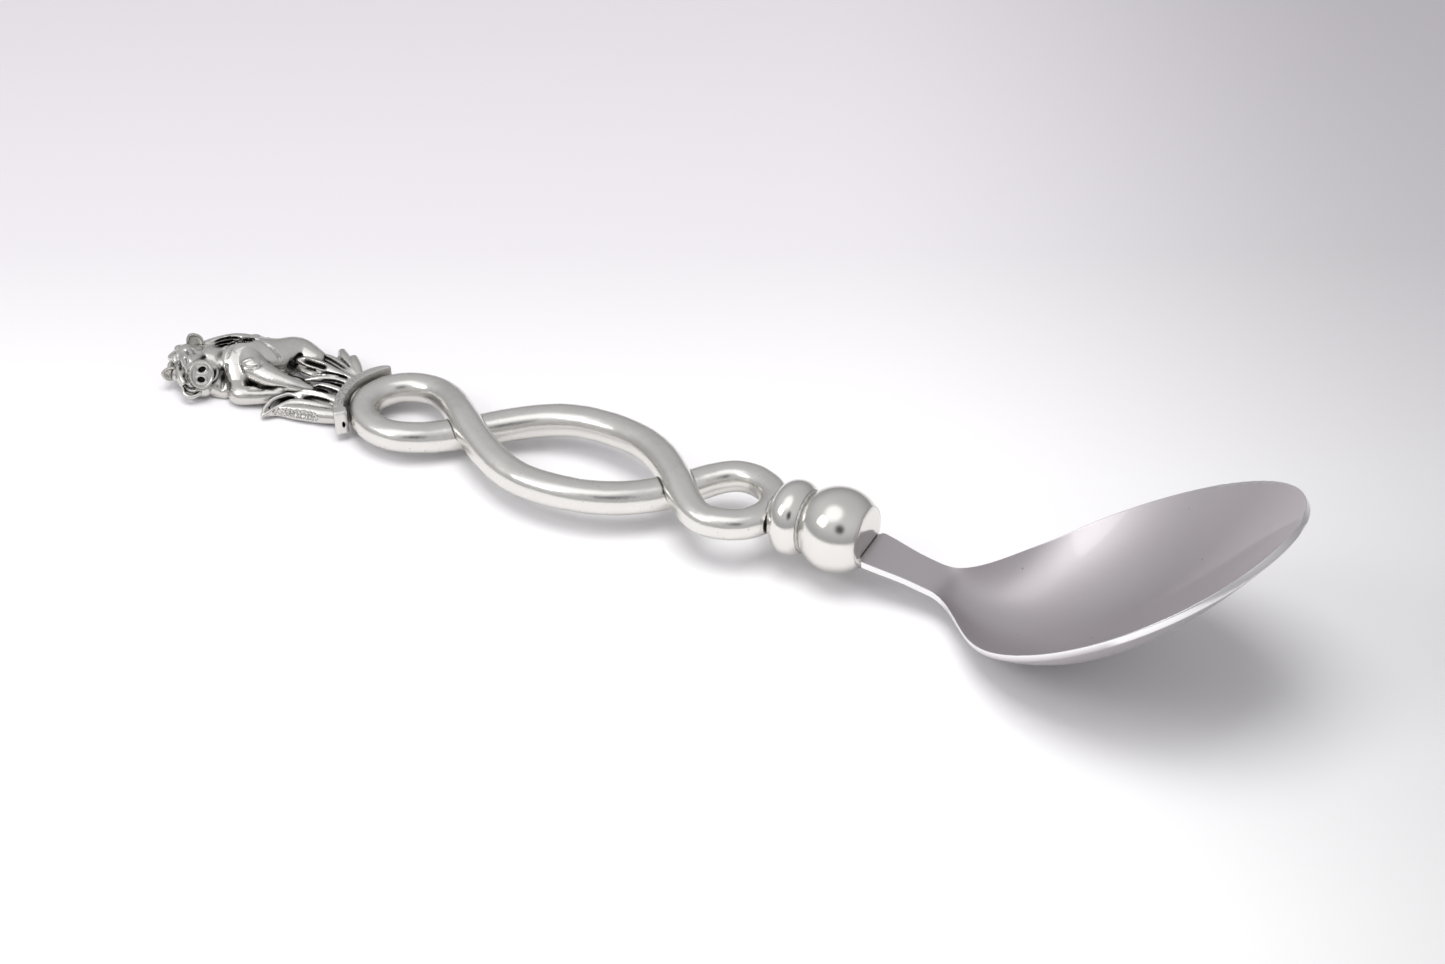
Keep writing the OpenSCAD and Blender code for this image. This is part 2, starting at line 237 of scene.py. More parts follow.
# %% [markdown]
# ## Helpers for materials
# A finish is a small network of nodes. `Wire` wraps one output so that maths on it reads as
# maths, and each expression adds its Math nodes. `Nodes` adds any other node to a tree, with
# its settings and its links. `Finish` is such a tree in a new material, with its shader.


# %% Wires, nodes and finishes
class Wire:
    def __init__(self, nodes, socket):
        self.nodes = nodes
        self.socket = socket

    def maths(self, operation, *values):
        return self.nodes.node("ShaderNodeMath", {"operation": operation}, *values)

    def __add__(self, other):
        return self.maths("ADD", self, other)

    __radd__ = __add__

    def __mul__(self, other):
        return self.maths("MULTIPLY", self, other)

    def __sub__(self, other):
        return self.maths("SUBTRACT", self, other)

    def __rsub__(self, other):
        return self.maths("SUBTRACT", other, self)

    def __truediv__(self, other):
        return self.maths("DIVIDE", self, other)

    def between(self, low, high):
        """0 below low, 1 above high and a smooth step between them."""
        return self.nodes.node(
            "ShaderNodeMapRange", {"interpolation_type": "SMOOTHSTEP"}, self, low, high, 0.0, 1.0
        )


class Nodes:
    def __init__(self, tree):
        self.tree = tree
        tree.nodes.clear()

    def feed(self, node, **inputs):
        """Links each wire to the input of that name, or sets the input's own value."""
        for name, value in inputs.items():
            self.plug(node.inputs[name.replace("_", " ")], value)

    def plug(self, socket, value):
        if isinstance(value, Wire):
            self.tree.links.new(value.socket, socket)
        else:
            socket.default_value = value

    def node(self, kind, settings=None, *values, out=0, **named):
        made = self.tree.nodes.new(kind)
        for name, value in (settings or {}).items():
            setattr(made, name, value)
        for socket, value in zip(made.inputs, values):
            self.plug(socket, value)
        self.feed(made, **named)
        return Wire(self, made.outputs[out])


class Finish(Nodes):
    def __init__(self, name, **constants):
        self.material = bpy.data.materials.new(name)
        self.material.use_nodes = True
        super().__init__(self.material.node_tree)
        output = self.tree.nodes.new("ShaderNodeOutputMaterial")
        self.shader = self.tree.nodes.new("ShaderNodeBsdfPrincipled")
        self.tree.links.new(self.shader.outputs["BSDF"], output.inputs["Surface"])
        self.feed(self.shader, **constants)

    def colours(self, share, first, second):
        made = self.node("ShaderNodeMix", {"data_type": "RGBA"}, share, out=2)
        for index, value in [(6, first), (7, second)]:
            colour = value if isinstance(value, Wire) else (*value, 1.0)
            self.plug(made.socket.node.inputs[index], colour)
        return made

    def place(self, scale=(1, 1, 1)):
        where = self.node("ShaderNodeTexCoord", {}, out=3)
        return self.node("ShaderNodeMapping", {}, where, Scale=scale)

    def noise(self, size, detail=3.0, roughness=0.55, where=None):
        """Clouds of grey, each about as wide as size."""
        return self.node(
            "ShaderNodeTexNoise", {}, where or self.place(),
            Scale=1 / size, Detail=detail, Roughness=roughness,
        )

    def cells(self, size):
        """How far each point is from the middle of its cell, in cells about size wide."""
        return self.node(
            "ShaderNodeTexVoronoi", {"feature": "F1"}, self.place(), Scale=1 / size
        )

    def ramp(self, share, stops):
        made = self.node("ShaderNodeValToRGB", {}, share)
        bar = made.socket.node.color_ramp.elements
        for position, colour in stops[1:-1]:
            bar.new(position)
        for element, (position, colour) in zip(bar, stops):
            element.position = position
            element.color = (*colour, 1.0)
        return made

    def attribute(self, name):
        return self.node("ShaderNodeAttribute", {"attribute_name": name}, out=2)

    def bump(self, height, depth, normal=None):
        links = {"Height": height, "Distance": depth, "Strength": 1.0}
        if normal:
            links["Normal"] = normal
        return self.node("ShaderNodeBump", {}, **links)

    def link(self, **wires):
        self.feed(self.shader, **wires)
        return self.material


# %% [markdown]
# ### Satin steel
# The bowl is stamped from sheet steel and satin finished, so it has a fine, even grain and
# no deep scratches. The rim is smoother, where it was ground and then worn by use, and its
# colour is painted much brighter, a painted highlight. The `rim` attribute, which the blade's
# own mesh carries, says where that is.


# %% Satin steel
def satin_steel():
    finish = Finish("satin_steel", Metallic=1.0, Coat_Roughness=0.07, Coat_IOR=1.5)
    cloud = finish.noise(14 * MM, 3.0)
    grain = finish.noise(0.16 * MM, 2.0, 0.6)
    streak = finish.noise(0.5 * MM, 3.0, 0.6, finish.place((0.12, 1.0, 1.0)))
    speck = finish.cells(5.5 * MM)
    fleck = 1 - speck.between(0.03, 0.045)
    rim = finish.attribute("rim")
    tone = (cloud - 0.5) * 0.3 + 0.5
    body = finish.colours(tone, (0.545, 0.512, 0.528), (0.605, 0.570, 0.586))
    # painted highlight: the rim's colour is lifted to near white, far brighter than the steel
    edge = finish.colours(rim, body, (0.86, 0.85, 0.85))
    colour = finish.colours(fleck * 0.5, edge, (0.16, 0.15, 0.15))
    rough = 0.46 + (cloud - 0.5) * 0.08 + (grain - 0.5) * 0.07 - rim * 0.26
    coat = 0.45 + (cloud - 0.5) * 0.1
    first = finish.bump(grain, 0.004 * MM)
    normal = finish.bump(streak, 0.006 * MM, first)
    return finish.link(Base_Color=colour, Roughness=rough, Coat_Weight=coat, Normal=normal)


# %% [markdown]
# ### Pewter
# Cast pewter is a warm, soft silver. The high places are polished and carry tiny pits and
# shallow hammer-like waves; the recesses are painted black, partly for the patina that stays
# there and partly as painted shade. An attribute holds how much of the open sky each point of
# the mesh misses, and it is worked out further down.
# One function makes the hand-polished finish of the rods and the antiqued one of the finial.


# %% Pewter
def pewter(name, silvers, patina_and_shade_span, polish, waves, pits):
    finish = Finish(name, Metallic=1.0)
    cloud = finish.noise(4.5 * MM, 4.0)
    wave = finish.noise(1.5 * MM, 3.0, 0.5)
    grain = finish.noise(0.22 * MM, 3.0, 0.65)
    pit = finish.cells(1.9 * MM)
    hole = (1 - pit.between(0.05, 0.12)) * pits
    # the more sky a point misses, the blacker it is painted: partly real patina, partly painted
    # shade in recesses and between pieces
    patina_and_shade = finish.attribute("patina_and_shade")
    uneven = patina_and_shade + (cloud - 0.5) * 0.16 + (grain - 0.5) * 0.1
    black = uneven.between(*patina_and_shade_span)
    tone = (cloud - 0.5) * 0.5 + 0.5
    silver = finish.colours(tone, *silvers)
    patina_and_shaded = finish.colours(black, silver, (0.035, 0.032, 0.030))
    colour = finish.colours(hole * 0.8, patina_and_shaded, (0.05, 0.045, 0.04))
    rough = polish + (cloud - 0.5) * 0.12 + (grain - 0.5) * 0.08 + black * 0.3 + hole * 0.3
    first = finish.bump(wave, waves * MM)
    second = finish.bump(grain, 0.010 * MM, first)
    normal = finish.bump(1 - hole, 0.05 * MM, second)
    return finish.link(Base_Color=colour, Roughness=rough, Normal=normal)


# %% [markdown]
# ### Stippled pewter, solder and epoxy
# The crescent's top edge was punched with a fine point, as `stipple` says, and is matt there;
# the rest is smoother. Solder is dull, lumpy and pitted, with dark flux in the pits. The epoxy in
# the slot is a hard grey glue of which only a hairline shows.


# %% Stippled pewter, solder and epoxy
def stippled_pewter():
    finish = Finish("stippled_pewter", Metallic=1.0)
    cloud = finish.noise(3.5 * MM, 3.0)
    dots = finish.cells(0.36 * MM)
    punched = finish.attribute("stipple")
    dent = (1 - dots.between(0.1, 0.55)) * punched
    # black where little sky is seen: partly patina, partly painted shade
    patina_and_shade = finish.attribute("patina_and_shade")
    black = (patina_and_shade + (cloud - 0.5) * 0.2).between(0.42, 0.85)
    silver = finish.colours(cloud, (0.62, 0.605, 0.58), (0.76, 0.745, 0.72))
    dotted = finish.colours(dent * 0.85, silver, (0.09, 0.085, 0.08))
    colour = finish.colours(black, dotted, (0.035, 0.032, 0.030))
    rough = 0.30 + punched * 0.14 + black * 0.2
    normal = finish.bump(1 - dent, 0.07 * MM)
    return finish.link(Base_Color=colour, Roughness=rough, Normal=normal)


def dull_solder():
    finish = Finish("dull_solder", Metallic=1.0)
    lump = finish.noise(0.6 * MM, 4.0, 0.7)
    holes = finish.cells(0.55 * MM)
    pit = 1 - holes.between(0.08, 0.3)
    # dark flux in the pits, and painted shade where the joint sees little sky
    patina_and_shade = finish.attribute("patina_and_shade")
    black = (patina_and_shade * 0.8 + pit * 0.5 + (lump - 0.5)).between(0.5, 0.95)
    colour = finish.colours(black, (0.60, 0.59, 0.565), (0.05, 0.047, 0.043))
    normal = finish.bump(lump - pit * 0.6, 0.14 * MM)
    return finish.link(Base_Color=colour, Roughness=0.34 + lump * 0.2, Normal=normal)


def grey_epoxy():
    finish = Finish("grey_epoxy")
    cloud = finish.noise(0.5 * MM, 3.0)
    colour = finish.colours(cloud, (0.05, 0.047, 0.042), (0.10, 0.095, 0.085))
    return finish.link(
        Base_Color=colour, Roughness=0.5 + cloud * 0.2, Normal=finish.bump(cloud, 0.03 * MM)
    )


steel_look = satin_steel()
BRIGHT = (0.71, 0.695, 0.66), (0.81, 0.797, 0.765)
AGED = (0.58, 0.565, 0.535), (0.76, 0.745, 0.715)
rod_look = pewter("polished_pewter", BRIGHT, (0.30, 0.85), 0.25, 0.03, 0.2)
ball_look = pewter("bright_pewter", BRIGHT, (0.45, 0.95), 0.14, 0.008, 0.1)
finial_look = pewter("antiqued_pewter", AGED, (0.14, 0.52), 0.25, 0.05, 0.2)
crescent_look = stippled_pewter()
solder_look = dull_solder()
epoxy_look = grey_epoxy()
print("finishes:", [m.name for m in bpy.data.materials])

# %% [markdown]
# ## Neck and bowl
# One stamping. The frame's own blade already has the true outline, hollow and thickness, as
# rings of points, so a copy of its mesh is the best cage there is: merged, with its
# triangles paired back to quads, it takes a subdivision surface that rounds the stamped
# edge a little, as tumbling does. The sharp corners along the rim are marked first.


# %% Blade
def spoon_blade():
    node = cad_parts["spoon_blade"]
    blade = bpy.data.objects.new("spoon_blade_cage", node.data.copy())
    bpy.context.scene.collection.objects.link(blade)
    pick_all(blade)
    bpy.ops.mesh.remove_doubles(threshold=0.002 * MM)
    bpy.ops.mesh.tris_convert_to_quads(
        face_threshold=math.radians(60), shape_threshold=math.radians(180)
    )
    bpy.ops.mesh.normals_make_consistent(inside=False)
    bpy.ops.object.mode_set(mode="OBJECT")
    cage = bmesh.new()
    cage.from_mesh(blade.data)
    on_rim = np.zeros(len(cage.verts), np.float32)
    for edge in cage.edges:
        if len(edge.link_faces) == 2 and edge.calc_face_angle() > math.radians(50):
            for corner in edge.verts:
                on_rim[corner.index] = 1
    cage.free()
    mark(blade, "rim", on_rim)
    modify(blade, "SUBSURF", levels=2, render_levels=2)
    take(blade)
    bpy.ops.object.shade_smooth()
    return blade


place(spoon_blade(), "neck_and_bowl", ["spoon_blade"], steel_look)
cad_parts["tang_bond"].data.materials.clear()
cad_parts["tang_bond"].data.materials.append(epoxy_look)

# %% [markdown]
# ## Ball and bead
# Both were turned or cast round the handle's axis. The ball is a sphere with two flats: the
# back one sits on the solder seam, and the front one is where the neck goes in. The bead is
# a thick disc with a full round edge. A slot for the tang runs through both. A boolean cuts
# the slot. A small bevel breaks its edges on the ball, as a file would.

# %% Ferrule sizes
BALL_BACK = 5.85 * MM
SEAM_T = 0.3 * MM
BEAD_T = 7.5 * MM
BEAD_SINK = 0.85 * MM
bead_r = (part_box("bead_ferrule")[1].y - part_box("bead_ferrule")[0].y) / 2
bead_x = -ball_r - BEAD_SINK
bead_front = -BALL_BACK - SEAM_T
bead_back = bead_x - BEAD_T / 2
SLOT_W = 7.1 * MM
SLOT_T = 2.1 * MM
SLOT_MIDDLE_Z = -2.75 * MM
SLOT_BACK = -10.35 * MM
turn_to_x = (0, math.pi / 2, 0)
print("bead radius and middle, mm:", round(bead_r / MM, 2), round(bead_x / MM, 2))


# %% Ball and bead
def cut_flat(piece, x, facing):
    """Planes the piece off square to the handle's axis at x."""
    plane_off(piece, (x, 0, 0), (facing, 0, 0), use_fill=True)


def cut_slot(piece):
    long = 2 * ball_r - SLOT_BACK
    bpy.ops.mesh.primitive_cube_add(size=1, location=(SLOT_BACK + long / 2, 0, SLOT_MIDDLE_Z))
    cutter = bpy.context.object
    cutter.scale = (long, SLOT_W, SLOT_T)
    apply_place(cutter)
    modify(cutter, "BEVEL", width=0.5 * MM, segments=4)
    cut_away(piece, cutter)


def ball_ferrule():
    deselect_all()
    bpy.ops.mesh.primitive_uv_sphere_add(
        segments=96, ring_count=64, radius=ball_r, rotation=turn_to_x
    )
    ball = apply_place(bpy.context.object)
    cut_flat(ball, BALL_FRONT, 1)
    cut_flat(ball, -BALL_BACK, -1)
    bevel(ball, 0.7 * MM, 5, 25, clamp=False)
    cut_slot(ball)
    bevel(ball, 0.12 * MM, 2, 50)
    smooth(ball, 30)
    return lay_down(ball)


def bead_ferrule():
    deselect_all()
    bpy.ops.mesh.primitive_cylinder_add(
        vertices=96, radius=bead_r, depth=BEAD_T, location=(bead_x, 0, 0), rotation=turn_to_x
    )
    bead = apply_place(bpy.context.object)
    bevel(bead, BEAD_T / 2 * 0.985, 16, 60)
    cut_flat(bead, bead_front, 1)
    cut_slot(bead)
    smooth(bead, 35)
    return lay_down(bead)


place(ball_ferrule(), "ball", ["ball_ferrule"], ball_look)
place(bead_ferrule(), "bead", ["bead_ferrule"], ball_look)

# %% [markdown]
# ## Twisted rods
# Each rod was cast straight and bent: a quarter turn at the back, out round the back loop,
# over or under its partner, along one side of the eye, across again, and round the front
# loop to the bead. A Bezier curve is that bend: its knots are where the rod crosses the
# middle line or stands furthest from it. The section isn't a plain circle. The top was
# filed a little flat, and a parting line from the mould runs along both flanks, so a drawn
# section rides along the curve. The rod that goes under is cut to fit round the other.

# %% Rod sizes
LOOP_ROD_R = 2.85 * MM
EYE_ROD_R = 3.1 * MM
FRONT_LOOP_LEN = 19.5 * MM
FRONT_LOOP_W = 15.2 * MM
EYE_LEN = 45.2 * MM
EYE_W = 21.1 * MM
BACK_LOOP_LEN = 21.7 * MM
BACK_LOOP_W = 15.6 * MM
WEAVE = 1.2 * MM
FRONT_CROSS = 45
BACK_CROSS = 40
ROUND_PULL = 0.55
back_edge = (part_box("near_rod")[0].x - ball_middle.x) / math.cos(LAY_ANGLE)
back_end = back_edge + LOOP_ROD_R
back_cross = back_end + BACK_LOOP_LEN
front_cross = back_cross + EYE_LEN
front_end = front_cross + FRONT_LOOP_LEN
# each knot: x, y, heading, reach before it, reach after it, height, radius
KNOTS = [
    (back_end, 0, 90, 0, BACK_LOOP_W / 2 * ROUND_PULL, 0, LOOP_ROD_R),
    (back_end + BACK_LOOP_LEN * 0.43, BACK_LOOP_W / 2, 0,
     BACK_LOOP_LEN * 0.25, BACK_LOOP_LEN * 0.21, 0, LOOP_ROD_R),
    (back_cross, 0, -BACK_CROSS, BACK_LOOP_LEN * 0.23, EYE_LEN * 0.21, WEAVE, EYE_ROD_R),
    ((back_cross + front_cross) / 2, -EYE_W / 2, 0, EYE_LEN * 0.2, EYE_LEN * 0.22, 0, EYE_ROD_R),
    (front_cross, 0, FRONT_CROSS, EYE_LEN * 0.21, FRONT_LOOP_LEN * 0.23, -WEAVE, EYE_ROD_R),
    (front_end - FRONT_LOOP_LEN * 0.45, FRONT_LOOP_W / 2, 0,
     FRONT_LOOP_LEN * 0.23, FRONT_LOOP_LEN * 0.25, -WEAVE / 4, LOOP_ROD_R),
    (front_end, 0, -90, FRONT_LOOP_W / 2 * ROUND_PULL, 0, 0, LOOP_ROD_R),
]
print("rod crossings, mm:", round(back_cross / MM, 1), round(front_cross / MM, 1))


# %% The drawn section and the bent rod
def rod_section(grow):
    """A unit circle, filed flat on top, with a ledge near mid-height on both flanks."""
    bpy.ops.curve.primitive_bezier_circle_add(radius=1)
    section = bpy.context.object
    section.data.splines.clear()
    outline = section.data.splines.new("POLY")
    sides = 40
    outline.points.add(sides - 1)
    outline.use_cyclic_u = True
    for k in range(sides):
        angle = 2 * math.pi * (k + 0.5) / sides
        across, rise = math.cos(angle), math.sin(angle)
        flat = 0.93 + 0.05 * abs(across) if rise > 0 else 1.0
        squarer = 1 + 0.05 * math.sin(2 * angle) ** 2
        ledge = 0.03 * math.exp(-(((rise + 0.10) / 0.09) ** 2))
        r = flat * squarer + ledge + grow
        outline.points[k].co = (-across * min(r, 1.0 + grow), rise * r, 0, 1)
    return section


def bent_rod(side, first, last, grow=0.0):
    """The rod from one knot to another, side 1 or -1 for its mirror image."""
    section = rod_section(grow)
    deselect_all()
    bpy.ops.curve.primitive_bezier_curve_add()
    rod = bpy.context.object
    rod.data.splines.clear()
    line = rod.data.splines.new("BEZIER")
    knots = KNOTS[first:last + 1]
    line.bezier_points.add(len(knots) - 1)
    for point, (x, y, heading, before, after, height, radius) in zip(line.bezier_points, knots):
        way = Vector((math.cos(math.radians(heading)), side * math.sin(math.radians(heading)), 0))
        point.co = (x, side * y, side * height)
        point.handle_left_type = point.handle_right_type = "FREE"
        point.handle_left = point.co - way * before
        point.handle_right = point.co + way * after
        point.radius = radius
    line.radius_interpolation = "EASE"
    rod.data.dimensions = "3D"
    rod.data.twist_mode = "Z_UP"
    rod.data.resolution_u = 36
    rod.data.bevel_mode = "OBJECT"
    rod.data.bevel_object = section
    rod.data.use_fill_caps = True
    take(rod)
    bpy.ops.object.convert(target="MESH")
    remove(section)
    turn_faces_out(rod, merge_under=0.005 * MM)
    return rod


def clouds(name, size):
    texture = bpy.data.textures.new(name, "CLOUDS")
    texture.noise_scale = size
    texture.noise_depth = 2
    return texture


def swell(piece, texture, strength):
    """Pushes the surface in and out unevenly, by up to half of strength."""
    modify(piece, "DISPLACE", texture=texture, strength=strength, mid_level=0.5,
           texture_coords="LOCAL")


hand_work = clouds("hand_work", 4 * MM)


def twisted_rod(side):
    rod = bent_rod(side, 0, 6)
    swell(rod, hand_work, 0.16 * MM)
    first, last = (3, 5) if side > 0 else (1, 3)
    partner = bent_rod(-side, first, last, grow=0.015)
    cut_away(rod, partner)
    cut_flat(rod, bead_back, 1)
    smooth(rod, 35)
    return lay_down(rod)


place(twisted_rod(1), "near_twist", ["near_rod"], rod_look)
place(twisted_rod(-1), "far_twist", ["far_rod"], rod_look)

# %% [markdown]
# ## Solder
# Solder runs into a joint and freezes in a lumpy fillet. The seam is a ring round the flat
# of the ball, the collar is where the front loop meets the bead, and the pad hides under
# the crescent. Each starts as a primitive that is swollen unevenly by a clouds texture.


# %% Solder joints
lumps = clouds("solder_lumps", 0.9 * MM)


def oval_lump(segments, rings, middle, radii):
    deselect_all()
    bpy.ops.mesh.primitive_uv_sphere_add(
        segments=segments, ring_count=rings, radius=1, location=middle
    )
    lump = bpy.context.object
    lump.scale = radii
    return apply_place(lump)


def seam_solder():
    deselect_all()
    seam_x = -BALL_BACK - SEAM_T / 2
    bpy.ops.mesh.primitive_torus_add(
        location=(seam_x, 0, 0), rotation=turn_to_x, major_segments=160, minor_segments=20,
        major_radius=5.35 * MM, minor_radius=0.5 * MM
    )
    ring = apply_place(bpy.context.object)
    swell(ring, lumps, 0.45 * MM)
    bpy.ops.object.shade_smooth()
    return lay_down(ring)


def collar_solder():
    collar = oval_lump(96, 48, (bead_back - 0.2 * MM, 0, 0), (1.2 * MM, 4.3 * MM, 3.6 * MM))
    swell(collar, lumps, 0.9 * MM)
    cut_flat(collar, bead_back + 0.15 * MM, 1)
    smooth(collar, 60)
    return lay_down(collar)


def crescent_pad():
    low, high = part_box("crescent_solder")
    pad = oval_lump(48, 24, (low + high) / 2, (high - low) / 2)
    swell(pad, lumps, 0.3 * MM)
    smooth(pad, 60)
    return pad


place(seam_solder(), "ball_seam", ["seam_solder"], solder_look)
place(collar_solder(), "bead_collar", ["collar_solder"], solder_look)
place(crescent_pad(), "crescent_joint", ["crescent_solder"], solder_look)

# %% [markdown]
# ## Crescent
# A band that cradles the back loop and thins towards its far end. A flat grid is the start:
# one way along it becomes the arc, and the other way becomes the thickness, so that the far
# end can taper and the near end can swell into a blocky lug, with a small hole in its end
# face. Solidified and bevelled, it carries a `stipple` attribute that says where it is punched.


# %% Crescent
CRESCENT_R = 11.5 * MM
CRESCENT_GAP = 0.6 * MM
CRESCENT_T = 1.9 * MM
CRESCENT_H = 5.2 * MM
FAR_TURN, NEAR_TURN = 46, 44
LUG_START, LUG_MIDDLE, LUG_REACH = -0.74, -0.88, 0.13
LUG_T = CRESCENT_T * 1.35
crescent_middle = back_edge - CRESCENT_GAP + CRESCENT_R


def crescent():
    deselect_all()
    bpy.ops.mesh.primitive_grid_add(x_subdivisions=72, y_subdivisions=4, size=2)
    band = bpy.context.object
    spots = corners_of(band)
    along, through = spots[:, 0].copy(), spots[:, 1].copy()
    far = np.clip(along, 0, 1)
    angle = math.pi + np.radians(np.where(along > 0, -FAR_TURN, -NEAR_TURN) * along)
    thick = CRESCENT_T * (1 - 0.42 * far**2.2) * np.sqrt(np.clip(1 - far**14, 0.05, 1))
    lug = along < LUG_START
    bulge = np.sqrt(1 - np.clip(np.abs((along - LUG_MIDDLE) / LUG_REACH), 0, 0.97) ** 5)
    thick = np.where(lug, LUG_T * bulge, thick)
    r = CRESCENT_R + thick * (through + 1) / 2
    r = r + np.where(lug, CRESCENT_T * 0.67 * (1 - bulge) - 0.5 * MM, 0)
    spots[:, 0] = crescent_middle + r * np.cos(angle)
    spots[:, 1] = r * np.sin(angle)
    spots[:, 2] = -CRESCENT_H / 2
    move_corners(band, spots)
    modify(band, "SOLIDIFY", thickness=CRESCENT_H, offset=1)
    box = corners_of(band)
    box[:, 2] -= (box[:, 2].max() + box[:, 2].min()) / 2
    turn = np.degrees(np.arctan2(-box[:, 1], crescent_middle - box[:, 0]))
    box[:, 2] *= 1 - 0.16 * np.clip((turn - 40.5) / 3.5, 0, 1) ** 2
    move_corners(band, box)
    turn_faces_out(band)
    bevel(band, 0.2 * MM, 3, 50, clamp=False)
    bpy.ops.mesh.primitive_cylinder_add(vertices=24, radius=0.45 * MM, depth=3 * MM)
    hole = bpy.context.object
    end = math.radians(NEAR_TURN)
    hole.scale = (0.75, 1.6, 1)
    hole.rotation_euler = (math.pi / 2, 0, end)
    hole_r = CRESCENT_R + 0.45 * MM
    hole.location = (
        crescent_middle - hole_r * math.cos(end), -hole_r * math.sin(end), -0.2 * MM
    )
    apply_place(hole)
    cut_away(band, hole)
    smooth(band, 40)
    spots = corners_of(band)
    turn = np.degrees(np.arctan2(spots[:, 1], crescent_middle - spots[:, 0]))
    amount = np.clip((turn + 36) / 6, 0, 1) * np.clip((46 - turn) / 60, 0.15, 1)
    amount *= np.clip((spots[:, 2] - CRESCENT_H * 0.3) / (CRESCENT_H * 0.1), 0.15, 1)
    mark(band, "stipple", amount)
    return lay_down(band)


place(crescent(), "crescent", ["crescent_band"], crescent_look)

# %% [markdown]
# ## Finial
# The finial is a small casting in relief with a flat back. It was modelled in wax, so it is
# made as clay is worked, because no primitive extruded or bevelled comes near its folds:
# balls of clay along each limb are pressed together by a voxel remesh, smoothed, and then
# lines are pressed in or drawn up with a tool along strokes. A place on it is written in mm
# as u outwards from the crescent, v across and h above the table.

# %% Clay tools
outer_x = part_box("crescent_band")[0].x


def spot(u, v, h):
    return Vector((outer_x - u * MM, v * MM, h * MM))


def curve_through(points, steps):
    """A smooth line through points of any number of values (Catmull-Rom)."""
    p = np.asarray(points, float)
    if len(p) == 2:
        return p[0] + (p[1] - p[0]) * np.linspace(0, 1, steps + 1)[:, None]
    ends = np.vstack([2 * p[0] - p[1], p, 2 * p[-1] - p[-2]])
    made = []
    for i in range(1, len(ends) - 2):
        a, b, c, d = ends[i - 1:i + 3]
        t = np.linspace(0, 1, steps, endpoint=False)[:, None]
        made.append(0.5 * (2 * b + (c - a) * t + (2 * a - 5 * b + 4 * c - d) * t**2
                           + (3 * b - a - 3 * c + d) * t**3))
    return np.vstack([*made, p[-1:]])


def clay(limbs, voxel, relax):
    """Presses chains of balls, each (u, v, h, radius), into one lump."""
    deselect_all()
    bpy.ops.mesh.primitive_ico_sphere_add(subdivisions=3, radius=1)
    ball = bpy.context.object
    unit = corners_of(ball)
    faces = np.array([f.vertices[:] for f in ball.data.polygons])
    remove(ball)
    corners, sides = [], []
    for limb in limbs:
        for *middle, radius in curve_through(limb, 7):
            corners.append(unit * (radius * MM) + np.array(spot(*middle)))
            sides.append(faces + len(unit) * len(sides))
    mesh = bpy.data.meshes.new("clay")
    mesh.from_pydata(np.vstack(corners).tolist(), [], np.vstack(sides).tolist())
    lump = bpy.data.objects.new("clay", mesh)
    bpy.context.scene.collection.objects.link(lump)
    modify(lump, "REMESH", mode="VOXEL", voxel_size=voxel)
    modify(lump, "SMOOTH", factor=0.5, iterations=relax)
    return lump


TAPER = 0.25


def tree_of(lump):
    return BVHTree.FromPolygons(
        [v.co[:] for v in lump.data.vertices], [f.vertices[:] for f in lump.data.polygons]
    )


def drop_on(tree, point):
    """Where a point lands on the clay, dropped along the modeller's line of sight."""
    found, normal, _, _ = tree.ray_cast(point + back * 0.03, -back)
    return found, normal


def stroke(lump, points, width, height):
    """Presses in (height below 0) or draws up a line along points, in mm, that are first
    dropped onto the clay. Both ends of the line fade out."""
    tree = tree_of(lump)
    spots = corners_of(lump)
    on, ways = [], []
    for row in curve_through(points, 14):
        found, normal = drop_on(tree, spot(*row))
        if found is not None:
            on.append(found)
            ways.append(normal)
    on, ways = np.array(on), np.array(ways)
    ways = (ways + np.roll(ways, 1, 0) + np.roll(ways, -1, 0)) / 3
    run = np.linspace(0, 1, len(on))
    fade = np.clip(np.minimum(run, 1 - run) / TAPER, 0, 1)
    fade = fade * fade * (3 - 2 * fade)
    near = np.where(
        (spots > on.min(0) - 3 * width * MM).all(1) & (spots < on.max(0) + 3 * width * MM).all(1)
    )[0]
    gap = np.linalg.norm(spots[near][:, None] - on[None], axis=2)
    k = gap.argmin(1)
    d = gap[np.arange(len(near)), k] / (width * MM)
    push = height * MM * fade[k] * np.exp(-d**2)
    spots[near] += ways[k] * push[:, None]
    move_corners(lump, spots)


def punch(lump, points, band, count, size, depth):
    """Small round dents scattered evenly over a band along points."""
    line = curve_through(points, 20)
    tree = tree_of(lump)
    spots = corners_of(lump)
    for k in range(count):
        row = line[int((k + 0.5) / count * len(line))]
        aside = ((k * 0.618) % 1 - 0.5) * band * MM
        found, normal = drop_on(tree, spot(*row) + up * aside)
        if found is not None:
            gap = np.linalg.norm(spots - np.array(found), axis=1) / (size * MM)
            spots -= np.array(normal) * (depth * MM * np.exp(-gap**2))[:, None]
    move_corners(lump, spots)


def flat_back(lump):
    plane_off(lump, (0, 0, 0.02 * MM), (0, 0, -1), use_fill=True, threshold=0.001 * MM)


# %% [markdown]
# ### Warthog
# It sits with its head turned out of the relief: a domed shoulder, a long back and rump, two
# forelegs that reach for the leaves, and a broad head.

